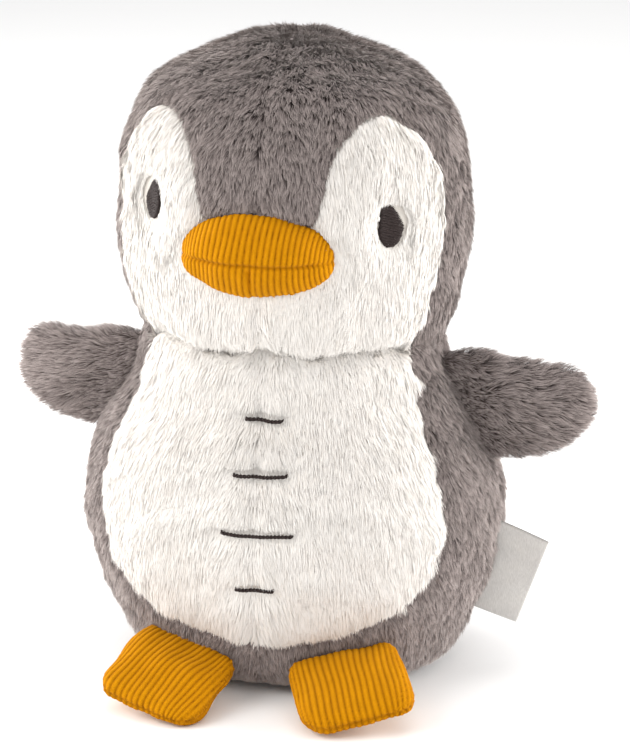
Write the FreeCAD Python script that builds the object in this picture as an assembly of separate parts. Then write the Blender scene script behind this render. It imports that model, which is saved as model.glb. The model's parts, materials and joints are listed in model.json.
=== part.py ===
import FreeCAD, Part

import math
import os

# Plush penguin, built as cut panels of pile fabric over separate fillings.
# Units are millimetres. +Z is up, the face looks along -Y and +X is the toy's own left-hand side.
# The origin is the centre of the flat base that the toy stands on. The toy is the same on both
# sides, so each piece of the left half is made once and mirrored.

# ---------------------------------------------------------------- driving dimensions

FABRIC = 1.8              # thickness of a panel: knitted backing plus the root of its pile
FILL_GAP = 0.25           # free space between a panel and the filling behind it

BODY_CENTRE_Y = -2.0      # vertical axis of the torso and the head
BODY_DEPTH_RATIO = 0.84   # torso depth over torso width
HEAD_DEPTH_RATIO = 0.90   # head depth over head width
BASE_RADIUS = 45.0        # half width of the flat base
# half width of the torso at each height, from the edge of the base up to the shoulder
TORSO_SIDE = [(BASE_RADIUS, 0), (54.5, 5), (61.7, 15), (67.6, 29), (71.8, 43), (73.5, 57),
              (72.2, 71), (68.3, 83.5), (62.6, 95), (57.4, 103.5), (53.8, 108.5)]
TRIM = 3.0                # the torso is turned this much too long, then cut flat underneath

NOD_Z = 106.0             # height of the head's nod axis
NECK_HALF_WIDTH = 50.0    # half width of the neck dome
NECK_RADIUS = 42.0        # radius of the neck dome about the nod axis
NECK_RIM_Z = 122.0        # the torso fabric ends here, in the neck seam
NECK_CLEARANCE = 1.2      # free space between the neck dome and the socket in the head
THREAD_RELIEF = 0.5       # height of the neck seam's thread over the fabric
THREAD_LIFT = 0.05        # free space between that thread and the fabric
THREAD_TOP = 1.0          # how far that thread's upper and lower edge lie below the rim
THREAD_BOTTOM = 2.2

# half width of the head at each height, from the chin to the crown
HEAD_SIDE = [(43.0, 120), (50.0, 122.8), (54.2, 130), (57.6, 140), (60.0, 155), (60.4, 172),
             (58.8, 189), (53.4, 204), (47.0, 212), (38.5, 219), (27.5, 224.5), (14.0, 228),
             (0, 229.2)]

# outline of the white belly, seen from the front, right-hand half (x, z)
BELLY_OUTLINE = [(38.0, 130), (40.4, 122), (43.5, 115), (47.0, 108), (51.0, 100), (54.6, 92),
                 (57.8, 83), (60.4, 73), (61.3, 63), (59.7, 52.5), (55.4, 43), (48.5, 36.6),
                 (39.5, 31.8), (26.0, 27), (12.5, 23.8), (0, 22.8)]
# outline of one white face panel, seen from the front, right-hand half (x, z)
FACE_OUTLINE = [(0, 168), (12.0, 169.5), (19.0, 174.5), (21.2, 183), (23.2, 192), (25.6, 200),
                (29.8, 206.5), (36.6, 209.4), (43.4, 206.6), (49.6, 200.3), (54.2, 192),
                (57.0, 182), (57.6, 172), (57.0, 161), (55.4, 150), (52.9, 140), (49.8, 131),
                (46.4, 122), (43.0, 112)]

EYE_HALF_WIDTH = 4.4
EYE_HEIGHT = 16.4
EYE_X = 42.0
# the eyes are sewn at slightly different heights
EYE_Z = {"left": 171.4, "right": 175.8}
EYE_RELIEF = 0.9          # how far the embroidery stands over the panel
EYE_WINDOW = (8.0, 12.0)  # half size of the patch of skin that an eye is cut from

BEAK_HALF_WIDTH = 28.3
BEAK_SEAM_Z = 161.3       # the seam between upper and lower beak
BEAK_AXIS_Y = -49.5
BEAK_FRONT = 18.5         # how far the beak stands in front of its corners
BEAK_UP = 18.0
BEAK_DOWN = 15.5
BEAK_FABRIC = 1.4
BEAK_LIFT = 0.3           # free space between the beak's filling and the face
BEAK_SEAT_RADIUS = 67.0   # the back of the beak is hollowed to lie on the face
BEAK_SEAT_Y = 10.2
BEAK_SEAT_HEIGHT = 60.0

STITCH_RELIEF = 0.9
STITCH_HEIGHT = 1.3
# the dark stitches across the belly seam: height, half length, sideways shift
BELLY_STITCHES = [(102.3, 6.6, 1.2), (84.3, 9.4, 1.6), (64.3, 13.0, 1.4), (43.7, 6.9, 0.4)]
CLOSING_STITCHES = 7      # hand stitches that close the back seam
CLOSING_START_Z = 24.0
CLOSING_STEP = 5.0
CLOSING_HALF_LENGTH = 2.2

# middle of a foot's hinge line, given for the +X side, and how far the foot leans outwards
# for each millimetre of its length
FOOT_ROOT = {"left": (28.3, -51.5, 17.4), "right": (25.0, -51.5, 17.0)}
FOOT_LEAN = {"left": 0.07, "right": -0.12}
FOOT_SPLAY = 22.0         # degrees that the toes point outwards
FOOT_SLOPE = 17.0         # degrees that the foot slopes down to the toes
FOOT_ROLL = 12.0          # degrees that the outer edge of the foot is raised
# a foot from its root to its toe: distance, half width, half thickness
FOOT_SECTIONS = [(0, 18.4, 1.3), (4, 19.3, 3.3), (10, 19.8, 5.0), (18, 20.2, 5.8),
                 (26, 20.1, 5.4), (31, 19.0, 4.4), (34.2, 16.8, 3.1), (36.2, 12.8, 1.3)]

FLIPPER_TOP = (52.5, -5.0, 119.0)     # upper end of the flipper's hinge line, +X side
FLIPPER_LINE = (0.43, 0.0, -0.903)    # the sewn root runs down and outwards along the shoulder
FLIPPER_SWEEP = 18.0      # degrees that the flipper points backwards
# a flipper from root to tip: distance, centre along the root line, half chord, half thickness
FLIPPER_SECTIONS = [(0, 22.0, 21.0, 1.3), (4, 24.0, 21.3, 3.8), (11, 27.5, 20.8, 6.0),
                    (20, 31.6, 19.2, 6.3), (28, 34.6, 16.8, 5.3), (34.5, 35.6, 13.4, 3.7),
                    (39.2, 34.8, 7.5, 1.3)]

LABEL_LENGTH = 34.5       # along the side seam
LABEL_REACH = 17.3        # from the seam to the fold
LABEL_START = 0.6         # free space between the seam and the ribbon
LABEL_LAYER = 0.4
LABEL_GAP = 0.5           # between the two layers of the folded ribbon
LABEL_ROOT = (77.0, 2.0, 52.8)    # upper end of the sewn edge
LABEL_LINE = (-0.342, 0.0, -0.940)
LABEL_SWEEP = 3.0

FAR = 400.0               # larger than the whole toy


def vector(values):
    return FreeCAD.Vector(*values)


def save(name, shape):
    """Write one node, and say how many closed solids it holds and their volume."""
    solids = shape.Solids
    node = solids[0] if len(solids) == 1 else Part.makeCompound(solids)
    node.exportStep("parts/" + name + ".step")
    print(f"{name:26s} solids {len(solids)} valid {node.isValid()} volume {node.Volume:10.1f}")


def save_pair(name, left):
    """Write a left-hand piece and its mirror image."""
    save(name + "_left", left)
    save(name + "_right", mirrored(left))


def block(low, high):
    """A box between two corners."""
    size = vector(high) - vector(low)
    return Part.makeBox(size.x, size.y, size.z, vector(low))


def half_space(axis, low=-FAR, high=FAR):
    """The slab between two values along one axis."""
    corner_a = [-FAR, -FAR, -FAR]
    corner_b = [FAR, FAR, FAR]
    corner_a[axis] = low
    corner_b[axis] = high
    return block(corner_a, corner_b)


def mirrored(shape):
    return shape.mirror(FreeCAD.Vector(0, 0, 0), FreeCAD.Vector(1, 0, 0))


# ---------------------------------------------------------------- bodies of revolution

def inset(points, distance):
    """Move a profile's points inwards along its own normals."""
    moved = []
    last = len(points) - 1
    for index, (radius, height) in enumerate(points):
        before = points[max(index - 1, 0)]
        after = points[min(index + 1, last)]
        run = after[0] - before[0]
        rise = after[1] - before[1]
        length = math.hypot(run, rise)
        moved.append((radius - distance * rise / length, height + distance * run / length))
    return moved


def spline(points):
    curve = Part.BSplineCurve()
    curve.interpolate([FreeCAD.Vector(radius, 0, height) for radius, height in points])
    return curve.toShape()


def turned(outline, depth_ratio, start=0, angle=360):
    """Turn a closed outline round Z and squeeze it from front to back."""
    face = Part.Face(Part.Wire(outline))
    axis = FreeCAD.Vector(0, 0, 1)
    face.rotate(FreeCAD.Vector(0, 0, 0), axis, start)
    solid = face.revolve(FreeCAD.Vector(0, 0, 0), axis, angle)
    squeeze = FreeCAD.Matrix()
    squeeze.scale(1, depth_ratio, 1)
    solid = Part.Solid(solid.transformGeometry(squeeze).Shells[0])
    if solid.Volume < 0:
        solid.reverse()
    solid.translate(FreeCAD.Vector(0, BODY_CENTRE_Y, 0))
    return solid


def closed_along_axis(edges, low, high):
    """Close a profile that ends on the axis at both ends."""
    start = FreeCAD.Vector(0, 0, low)
    first = edges[0].Vertexes[0].Point
    return [Part.makeLine(start, first)] + edges + [Part.makeLine(FreeCAD.Vector(0, 0, high), start)]


def neck_dome(distance):
    """Profile of the neck dome, round about the nod axis once it is squeezed."""
    width = NECK_HALF_WIDTH - distance
    radius = NECK_RADIUS - distance
    points = []
    for step in range(9):
        angle = math.radians(6 + step * 84 / 8)
        points.append((width * math.cos(angle), NOD_Z + radius * math.sin(angle)))
    points[-1] = (0, points[-1][1])
    return points


def torso_profile(distance):
    """Edges from the rim of the base to the top of the neck dome, and their two end heights."""
    side = inset(TORSO_SIDE, distance)
    low = max(distance, 0.0)
    side[0] = (side[0][0], low)
    dome = neck_dome(distance)
    return [spline(side + dome[:1]), spline(dome)], low, dome[-1][1]


def torso_solid(distance):
    """The torso with its neck dome, pulled in by a distance and cut flat underneath."""
    edges, low, high = torso_profile(distance)
    first = edges[0].Vertexes[0].Point
    below = FreeCAD.Vector(first.x, 0, low - TRIM)
    outline = closed_along_axis([Part.makeLine(below, first)] + edges, below.z, high)
    return turned(outline, BODY_DEPTH_RATIO).common(half_space(2, low=low))


def torso_layer(outside, inside, start):
    """Half of the layer between two insets of the torso, turned from a start angle."""
    outer, outer_low, outer_high = torso_profile(outside)
    inner, inner_low, inner_high = torso_profile(inside)
    inner_rim = FreeCAD.Vector(inner[0].Vertexes[0].Point)
    outer_rim = FreeCAD.Vector(outer[0].Vertexes[0].Point)
    top = Part.makeLine(FreeCAD.Vector(0, 0, outer_high), FreeCAD.Vector(0, 0, inner_high))
    rim = Part.makeLine(inner_rim, outer_rim)
    return turned(outer + [top] + inner[::-1] + [rim], BODY_DEPTH_RATIO, start, 180)


def head_solid(distance):
    side = inset(HEAD_SIDE, distance)
    side[-1] = (0, HEAD_SIDE[-1][1] - distance)
    outline = closed_along_axis([spline(side)], side[0][1], side[-1][1])
    return turned(outline, HEAD_DEPTH_RATIO)


def neck_socket():
    """The hollow under the head, round about the nod axis, that the neck dome turns in."""
    ball = Part.makeSphere(NECK_RADIUS + NECK_CLEARANCE, FreeCAD.Vector(0, 0, 0))
    widen = FreeCAD.Matrix()
    widen.scale((NECK_HALF_WIDTH + NECK_CLEARANCE) / (NECK_RADIUS + NECK_CLEARANCE), 1, 1)
    ball = ball.transformGeometry(widen)
    ball.translate(FreeCAD.Vector(0, BODY_CENTRE_Y, NOD_Z))
    return ball


def front_prism(outline, back_y):
    """Everything in front of back_y that lies inside an outline seen from the front."""
    right = Part.BSplineCurve()
    right.interpolate([FreeCAD.Vector(x, back_y, z) for x, z in outline])
    left = Part.BSplineCurve()
    left.interpolate([FreeCAD.Vector(-x, back_y, z) for x, z in outline])
    edges = [right.toShape(), left.toShape()]
    for x, z in (outline[0], outline[-1]):
        if x > 0:
            edges.append(Part.makeLine(FreeCAD.Vector(x, back_y, z),
                                       FreeCAD.Vector(-x, back_y, z)))
    wire = Part.Wire(Part.__sortEdges__(edges))
    return Part.Face(wire).extrude(FreeCAD.Vector(0, -FAR, 0))


# ---------------------------------------------------------------- torso

def bars(layer, rows):
    """Straight stitches cut out of a thin layer that lies over the fabric."""
    solids = []
    for height, half_length, shift in rows:
        low = (shift - half_length, -FAR, height - STITCH_HEIGHT / 2)
        high = (shift + half_length, FAR, height + STITCH_HEIGHT / 2)
        solids.append(layer.common(block(low, high)))
    return solids


def neck_thread():
    """One turn of strong thread round the rim of the neck."""
    corners = []
    for distance, below_rim in ((0, THREAD_TOP), (0, THREAD_BOTTOM),
                                (-THREAD_RELIEF, THREAD_BOTTOM), (-THREAD_RELIEF, THREAD_TOP)):
        height = NECK_RIM_Z - below_rim - NOD_Z
        width = NECK_HALF_WIDTH - distance + THREAD_LIFT
        radius = NECK_RADIUS - distance + THREAD_LIFT
        x = width * math.sqrt(1 - (height / radius) ** 2)
        corners.append(FreeCAD.Vector(x, 0, height + NOD_Z))
    return turned(Part.makePolygon(corners + corners[:1]).Edges, BODY_DEPTH_RATIO)


def make_torso():
    outer = torso_solid(0)
    save("base_panel", outer.common(half_space(2, 0, FABRIC)))
    save("torso_filling", torso_solid(FABRIC + FILL_GAP))

    shell = torso_layer(0, FABRIC, -90).common(half_space(2, FABRIC, NECK_RIM_Z))
    front = shell.common(half_space(1, high=0))
    belly_region = front_prism(BELLY_OUTLINE, BODY_CENTRE_Y)
    save_pair("belly_panel", front.common(belly_region))
    save_pair("front_panel", front.cut(belly_region))
    save_pair("back_panel", shell.common(half_space(1, low=0)))

    front_layer = torso_layer(-STITCH_RELIEF, 0, 180)
    for number, solid in enumerate(bars(front_layer, BELLY_STITCHES), 1):
        save(f"belly_stitch_{number}", solid)
    rows = [(CLOSING_START_Z + number * CLOSING_STEP, CLOSING_HALF_LENGTH, 0)
            for number in range(CLOSING_STITCHES)]
    save("closing_thread", Part.makeCompound(bars(torso_layer(-STITCH_RELIEF, 0, 0), rows)))
    save("neck_seam_thread", neck_thread())


# ---------------------------------------------------------------- head

def eye_prism(middle_z):
    """A teardrop seen from the front, with its point upwards and leaning outwards a little."""
    half = EYE_HEIGHT / 2
    offsets = [(0.8, half), (EYE_HALF_WIDTH * 0.85, half * 0.25),
               (EYE_HALF_WIDTH * 0.95, -half * 0.35), (0, -half),
               (-EYE_HALF_WIDTH, -half * 0.3), (-EYE_HALF_WIDTH * 0.7, half * 0.4), (0.8, half)]
    curve = Part.BSplineCurve()
    curve.interpolate([FreeCAD.Vector(EYE_X + x, 0, middle_z + z) for x, z in offsets])
    return Part.Face(Part.Wire([curve.toShape()])).extrude(FreeCAD.Vector(0, -FAR, 0))


def beak_arc(radius, length):
    """The beak's edge seen from above, from one corner round the front to the other."""
    ellipse = Part.Ellipse(FreeCAD.Vector(0, 0, 0), length, radius)
    return ellipse.toShape(math.pi, 2 * math.pi)


def beak_halves(outside, inside=None):
    """The upper and lower half of an egg across the face, solid or with a hollow inside."""
    radius = BEAK_FRONT - outside
    length = BEAK_HALF_WIDTH - outside
    edges = [beak_arc(radius, length)]
    if inside is None:
        edges.append(Part.makeLine(FreeCAD.Vector(length, 0, 0), FreeCAD.Vector(-length, 0, 0)))
    else:
        inner = BEAK_HALF_WIDTH - inside
        edges.append(Part.makeLine(FreeCAD.Vector(length, 0, 0), FreeCAD.Vector(inner, 0, 0)))
        edges.append(beak_arc(BEAK_FRONT - inside, inner))
        edges.append(Part.makeLine(FreeCAD.Vector(-inner, 0, 0), FreeCAD.Vector(-length, 0, 0)))
    face = Part.Face(Part.Wire(edges))
    halves = []
    for turn, tall in ((-1, BEAK_UP - outside), (1, BEAK_DOWN - outside)):
        half = face.revolve(FreeCAD.Vector(0, 0, 0), FreeCAD.Vector(turn, 0, 0), 180)
        squeeze = FreeCAD.Matrix()
        squeeze.scale(1, 1, tall / radius)
        half = Part.Solid(half.transformGeometry(squeeze).Shells[0])
        if half.Volume < 0:
            half.reverse()
        half.translate(FreeCAD.Vector(0, BEAK_AXIS_Y, BEAK_SEAM_Z))
        halves.append(half)
    return halves


def beak_seat(lift):
    """The upright round surface that the back of the beak is cut to."""
    low = FreeCAD.Vector(0, BEAK_SEAT_Y, BEAK_SEAM_Z - BEAK_SEAT_HEIGHT / 2)
    return Part.makeCylinder(BEAK_SEAT_RADIUS + lift, BEAK_SEAT_HEIGHT, low)


def make_head():
    outer = head_solid(0)
    socket = neck_socket()
    save("head_filling", head_solid(FABRIC + FILL_GAP).cut(socket))

    left_half = half_space(0, low=0)
    shell = outer.common(left_half).cut(head_solid(FABRIC)).cut(socket)
    front = shell.common(half_space(1, high=0))
    face_region = front_prism(FACE_OUTLINE, BODY_CENTRE_Y)
    save_pair("face_panel", front.common(face_region))
    save_pair("crown_panel", front.cut(face_region))
    save_pair("head_back_panel", shell.common(half_space(1, low=0)))

    half_width, half_height = EYE_WINDOW
    for side, middle_z in EYE_Z.items():
        around_eye = block((EYE_X - half_width, -FAR, middle_z - half_height),
                           (EYE_X + half_width, 0, middle_z + half_height))
        raised = head_solid(-EYE_RELIEF).common(around_eye).cut(outer)
        eye = raised.common(eye_prism(middle_z))
        save("eye_" + side, eye if side == "left" else mirrored(eye))

    upper, lower = beak_halves(0, BEAK_FABRIC)
    upper_fill, lower_fill = beak_halves(BEAK_FABRIC + FILL_GAP)
    save("beak_upper", upper.cut(beak_seat(0)))
    save_pair("beak_lower", lower.common(left_half).cut(beak_seat(0)))
    filling = [half.cut(beak_seat(BEAK_LIFT)) for half in (upper_fill, lower_fill)]
    save("beak_filling", filling[0].fuse(filling[1]))


# ---------------------------------------------------------------- feet and flippers

def section(distance, centre, half_width, half_thickness):
    """One closed cross-section of a pad: a rounded rectangle, as a smooth closed curve."""
    power = 2 / 2.4
    count = 20
    points = []
    for step in range(count):
        angle = 2 * math.pi * step / count
        cosine = math.cos(angle)
        sine = math.sin(angle)
        across = math.copysign(abs(cosine) ** power, cosine) * half_width
        up = math.copysign(abs(sine) ** power, sine) * half_thickness
        points.append(FreeCAD.Vector(distance, centre + across, up))
    curve = Part.BSplineCurve()
    curve.interpolate(points, PeriodicFlag=True)
    return Part.Wire([curve.toShape()])


def pad(sections, shrink):
    """A stuffed pad lofted through its cross-sections, pulled in by a distance."""
    wires = []
    last = len(sections) - 1
    for index, (distance, centre, half_width, half_thickness) in enumerate(sections):
        if index == 0:
            distance += shrink
        if index == last:
            distance -= shrink
        thickness = max(half_thickness - shrink, 0.35)
        wires.append(section(distance, centre, half_width - shrink, thickness))
    return Part.makeLoft(wires, True, False)


def placed(shape, origin, outward, along):
    """Put a pad's own axes (outward, along its root, through its thickness) in the toy's frame."""
    outward = vector(outward).normalize()
    along = vector(along).normalize()
    through = outward.cross(along)
    matrix = FreeCAD.Matrix(outward.x, along.x, through.x, origin[0],
                            outward.y, along.y, through.y, origin[1],
                            outward.z, along.z, through.z, origin[2],
                            0, 0, 0, 1)
    moved = shape.copy()
    moved.Placement = FreeCAD.Placement(matrix).multiply(moved.Placement)
    return moved


def make_pad(side, sections, names, origin, outward, along):
    """Two panels and a filling. They are placed for the +X side and mirrored for the other."""
    outer = pad(sections, 0)
    inner = pad(sections, FABRIC)
    filling = pad(sections, FABRIC + FILL_GAP)
    shell = outer.cut(inner)
    pieces = (shell.common(half_space(2, low=0)), shell.common(half_space(2, high=0)), filling)
    for name, piece in zip(names, pieces):
        piece = placed(piece, origin, outward, along)
        save(name + "_" + side, piece if side == "left" else mirrored(piece))


def foot_axes():
    """Directions of a +X foot: outwards to the toes, and along its root."""
    splay = math.radians(FOOT_SPLAY)
    slope = math.radians(FOOT_SLOPE)
    outward = FreeCAD.Vector(math.sin(splay) * math.cos(slope),
                             -math.cos(splay) * math.cos(slope), -math.sin(slope))
    level = FreeCAD.Vector(math.cos(splay), math.sin(splay), 0)
    return outward, FreeCAD.Rotation(outward, FOOT_ROLL).multVec(level)


def make_feet():
    outward, along = foot_axes()
    names = ("foot_top_panel", "foot_sole_panel", "foot_filling")
    for side in ("left", "right"):
        sections = [(distance, FOOT_LEAN[side] * distance, width, thick)
                    for distance, width, thick in FOOT_SECTIONS]
        make_pad(side, sections, names, FOOT_ROOT[side], tuple(outward), tuple(along))


def make_flippers():
    along = vector(FLIPPER_LINE)
    flat = FreeCAD.Vector(-along.z, 0, along.x)
    outward = FreeCAD.Rotation(along, -FLIPPER_SWEEP).multVec(flat)
    names = ("flipper_front_panel", "flipper_back_panel", "flipper_filling")
    for side in ("left", "right"):
        make_pad(side, FLIPPER_SECTIONS, names, FLIPPER_TOP, tuple(outward), tuple(along))


def make_label():
    """A ribbon folded in two, sewn into the side seam by its two ends."""
    thick = 2 * LABEL_LAYER + LABEL_GAP
    body = block((LABEL_START, 0, -thick / 2), (LABEL_REACH, LABEL_LENGTH, thick / 2))
    slot = block((0, -1, -LABEL_GAP / 2), (LABEL_REACH - LABEL_LAYER, LABEL_LENGTH + 1,
                                           LABEL_GAP / 2))
    along = vector(LABEL_LINE)
    flat = FreeCAD.Vector(-along.z, 0, along.x)
    outward = FreeCAD.Rotation(along, -LABEL_SWEEP).multVec(flat)
    save("side_label", placed(body.cut(slot), LABEL_ROOT, tuple(outward), tuple(along)))


os.makedirs("parts", exist_ok=True)
make_torso()
make_head()
make_feet()
make_flippers()
make_label()
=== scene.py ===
import json
import math

import bpy
import numpy as np
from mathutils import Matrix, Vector
from mathutils.bvhtree import BVHTree


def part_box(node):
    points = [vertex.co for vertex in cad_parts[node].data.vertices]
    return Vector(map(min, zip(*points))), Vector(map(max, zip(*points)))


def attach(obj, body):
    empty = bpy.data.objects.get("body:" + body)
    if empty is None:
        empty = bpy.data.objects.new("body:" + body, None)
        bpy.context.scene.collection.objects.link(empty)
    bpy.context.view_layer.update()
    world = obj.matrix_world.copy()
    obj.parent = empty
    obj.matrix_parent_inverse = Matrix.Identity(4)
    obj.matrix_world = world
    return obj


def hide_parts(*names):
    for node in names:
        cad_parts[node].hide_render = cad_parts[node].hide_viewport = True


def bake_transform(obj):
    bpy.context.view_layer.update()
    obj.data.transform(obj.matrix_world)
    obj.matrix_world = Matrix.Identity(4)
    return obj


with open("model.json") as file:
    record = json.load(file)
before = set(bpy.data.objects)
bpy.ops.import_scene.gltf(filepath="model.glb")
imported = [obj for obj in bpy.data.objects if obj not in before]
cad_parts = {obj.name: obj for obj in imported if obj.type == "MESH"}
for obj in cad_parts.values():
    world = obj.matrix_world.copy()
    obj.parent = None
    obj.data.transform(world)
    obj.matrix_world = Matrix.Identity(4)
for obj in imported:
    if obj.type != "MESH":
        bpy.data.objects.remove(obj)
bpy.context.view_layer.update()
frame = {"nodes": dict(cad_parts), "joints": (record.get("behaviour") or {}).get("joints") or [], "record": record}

MM = 0.001
SIDES = (("left", 1.0), ("right", -1.0))

DEPTH_RATIO = 0.84                # depth of the body from front to back, for its width
FABRIC_OVER_FILLING = 2.05 * MM   # from a filling's surface to the outside of the panel over it
PILE_PER_MM2 = 5.4                # strands of pile on a square millimetre at the back
FRONT_PILE_PER_MM2 = 8.5          # and on the smaller panels of the front
SHORTEST = 0.5 * MM               # no strand is shorter
# how each pile lies: lean of a strand's lower and upper half in degrees, its width, how far it
# strays from the flow and turns on itself, how it catches the light on its own, how it clumps.
# The pile of the flippers is ruffled.
PILE_STYLES = {
    "white_pile": {"lean": (60, 83), "width": 0.50 * MM, "stray": 0.50, "spin": 0.08,
                   "relief": 0.0, "clump": 0.15, "length": 7.0 * MM},
    "grey_pile": {"lean": (42, 70), "width": 0.27 * MM, "stray": 1.05, "spin": 0.45,
                  "relief": 0.58, "clump": 0.52, "length": 5.4 * MM},
    "ruffled_grey_pile": {"lean": (32, 60), "width": 0.30 * MM, "stray": 1.15, "spin": 0.45,
                          "relief": 0.50, "clump": 0.50, "length": 6.2 * MM},
}
TUFT = 1.4 * MM                   # strands this close lean together
WALE = 2.3 * MM                   # width of one rib of the corduroy
WALE_HEIGHT = 0.38 * MM
BELLY_STITCHES = [f"belly_stitch_{number}" for number in range(1, 5)]
STITCH_LIFT = 2.6 * MM            # height of a belly stitch over the backing, on top of the pile
STITCH_TWIST = 2.6 * MM           # length of one turn of its two plies
PLY_OFFSET = 0.40 * MM            # of each ply from the middle of the stitch
PLY_RADIUS = 0.38 * MM
EYE_ROWS = 34                     # rows of satin stitch from an eye's foot to its point
EYE_THREAD = 0.31 * MM            # radius of its thread

JOINTS = {joint["name"]: joint for joint in frame["joints"]}
DEPSGRAPH = bpy.context.evaluated_depsgraph_get()


# ------------------------------------------------------------------ small helpers

def unit(vectors):
    """Vectors scaled to length one."""
    length = np.linalg.norm(vectors, axis=-1, keepdims=True)
    return vectors / np.maximum(length, 1e-12)


def flattened(vectors, normals):
    """Vectors laid down on the surface that has these normals."""
    return unit(vectors - np.sum(vectors * normals, axis=1, keepdims=True) * normals)


def bump(distance, width):
    """1 at distance 0, falling smoothly to 0 over about twice the width."""
    return np.exp(-(distance / width) ** 2)


def smooth_step(values, low, high):
    t = np.clip((values - low) / (high - low), 0, 1)
    return t * t * (3 - 2 * t)


def ripple(points, size, seed):
    """Smooth random values of about -1 to 1 that vary over a length of about size."""
    random = np.random.default_rng(seed)
    total = np.zeros(len(points))
    waves = 7
    for _ in range(waves):
        direction = unit(random.normal(size=3))
        frequency = 2 * math.pi / (size * random.uniform(0.7, 1.6))
        total += np.sin(points @ direction * frequency + random.uniform(0, 2 * math.pi))
    return total / math.sqrt(waves)


def read(mesh):
    """Vertex places, vertex normals and triangles of a mesh."""
    count = len(mesh.vertices)
    places = np.empty(count * 3, np.float32)
    normals = np.empty(count * 3, np.float32)
    mesh.vertices.foreach_get("co", places)
    mesh.vertex_normals.foreach_get("vector", normals)
    mesh.calc_loop_triangles()
    triangles = np.empty(len(mesh.loop_triangles) * 3, np.int32)
    mesh.loop_triangles.foreach_get("vertices", triangles)
    return (places.reshape(-1, 3).astype(float), normals.reshape(-1, 3).astype(float),
            triangles.reshape(-1, 3))


def write(mesh, places):
    mesh.vertices.foreach_set("co", np.asarray(places, np.float32).ravel())
    mesh.update()


def built(name, places, faces):
    """A new mesh object. faces is a list of arrays, each with its own number of corners."""
    mesh = bpy.data.meshes.new(name)
    mesh.vertices.add(len(places))
    mesh.vertices.foreach_set("co", np.asarray(places, np.float32).ravel())
    corners = np.concatenate([part.ravel() for part in faces]).astype(np.int32)
    sizes = np.concatenate([np.full(len(part), part.shape[1]) for part in faces])
    starts = np.concatenate([[0], np.cumsum(sizes)[:-1]]).astype(np.int32)
    mesh.loops.add(len(corners))
    mesh.loops.foreach_set("vertex_index", corners)
    mesh.polygons.add(len(sizes))
    mesh.polygons.foreach_set("loop_start", starts)
    mesh.polygons.foreach_set("use_smooth", np.ones(len(sizes), bool))
    mesh.update(calc_edges=True)
    mesh.validate()
    piece = bpy.data.objects.new(name, mesh)
    bpy.context.scene.collection.objects.link(piece)
    return piece, corners


def applied(piece):
    """Replace a piece's mesh by what its modifiers make of it."""
    bpy.context.view_layer.update()
    graph = bpy.context.evaluated_depsgraph_get()
    mesh = bpy.data.meshes.new_from_object(piece.evaluated_get(graph))
    old = piece.data
    piece.modifiers.clear()
    piece.data = mesh
    bpy.data.meshes.remove(old)
    return piece


def remeshed(name, node, voxel, smoothing, levels=0):
    """An even, softened copy of a CAD solid."""
    mesh = frame["nodes"][node].data.copy()
    piece = bpy.data.objects.new(name, mesh)
    bpy.context.scene.collection.objects.link(piece)
    remesh = piece.modifiers.new("even", "REMESH")
    remesh.mode = "VOXEL"
    remesh.voxel_size = voxel
    soften = piece.modifiers.new("soften", "SMOOTH")
    soften.factor = 0.5
    soften.iterations = smoothing
    applied(piece)
    if levels:
        finer = piece.modifiers.new("finer", "SUBSURF")
        finer.levels = levels
        finer.render_levels = levels
        applied(piece)
    return piece


def swollen(piece, distance):
    places, normals, _ = read(piece.data)
    write(piece.data, places + normals * distance)
    return piece


def distances_to(node, places):
    """How far each place is from a CAD node's surface."""
    tree = BVHTree.FromObject(frame["nodes"][node], DEPSGRAPH)
    return np.array([tree.find_nearest(place)[3] for place in places])


# ------------------------------------------------------------------ materials

class Nodes:
    """Short ways to write a material's node tree."""

    def __init__(self, name):
        self.material = bpy.data.materials.new(name)
        self.material.use_nodes = True
        self.tree = self.material.node_tree
        self.shader = self.tree.nodes["Principled BSDF"]

    def node(self, kind, **values):
        made = self.tree.nodes.new(kind)
        for key, value in values.items():
            setattr(made, key, value)
        return made

    def link(self, source, target):
        self.tree.links.new(source, target)

    def math(self, operation, first, second=None):
        made = self.node("ShaderNodeMath", operation=operation)
        for socket, value in zip(made.inputs, (first, second)):
            if value is None:
                continue
            if isinstance(value, (int, float)):
                socket.default_value = value
            else:
                self.link(value, socket)
        return made.outputs[0]

    def ramp(self, factor, stops):
        made = self.node("ShaderNodeValToRGB")
        elements = made.color_ramp.elements
        while len(elements) < len(stops):
            elements.new(0.5)
        for element, (position, colour) in zip(elements, stops):
            element.position = position
            element.color = (*colour, 1)
        self.link(factor, made.inputs[0])
        return made.outputs[0]

    def mixed(self, mode, factor, first, second):
        made = self.node("ShaderNodeMix", data_type="RGBA", blend_type=mode)
        for socket, value in ((made.inputs[0], factor), (made.inputs[6], first),
                              (made.inputs[7], second)):
            if isinstance(value, (int, float)):
                socket.default_value = value
            elif isinstance(value, tuple):
                socket.default_value = (*value, 1)
            else:
                self.link(value, socket)
        return made.outputs[2]

    def noise(self, vector, scale, detail=2.0):
        made = self.node("ShaderNodeTexNoise")
        made.inputs["Scale"].default_value = scale
        made.inputs["Detail"].default_value = detail
        if vector is not None:
            self.link(vector, made.inputs["Vector"])
        return made.outputs["Fac"]

    def bump(self, height, strength, distance):
        made = self.node("ShaderNodeBump")
        made.inputs["Strength"].default_value = strength
        made.inputs["Distance"].default_value = distance
        self.link(height, made.inputs["Height"])
        self.link(made.outputs[0], self.shader.inputs["Normal"])

    def finish(self, roughness, sheen=0.0, sheen_roughness=0.5, specular=0.3, tint=(1, 1, 1)):
        self.shader.inputs["Roughness"].default_value = roughness
        self.shader.inputs["Sheen Weight"].default_value = sheen
        self.shader.inputs["Sheen Roughness"].default_value = sheen_roughness
        self.shader.inputs["Sheen Tint"].default_value = (*tint, 1)
        self.shader.inputs["Specular IOR Level"].default_value = specular
        return self.material


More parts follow.
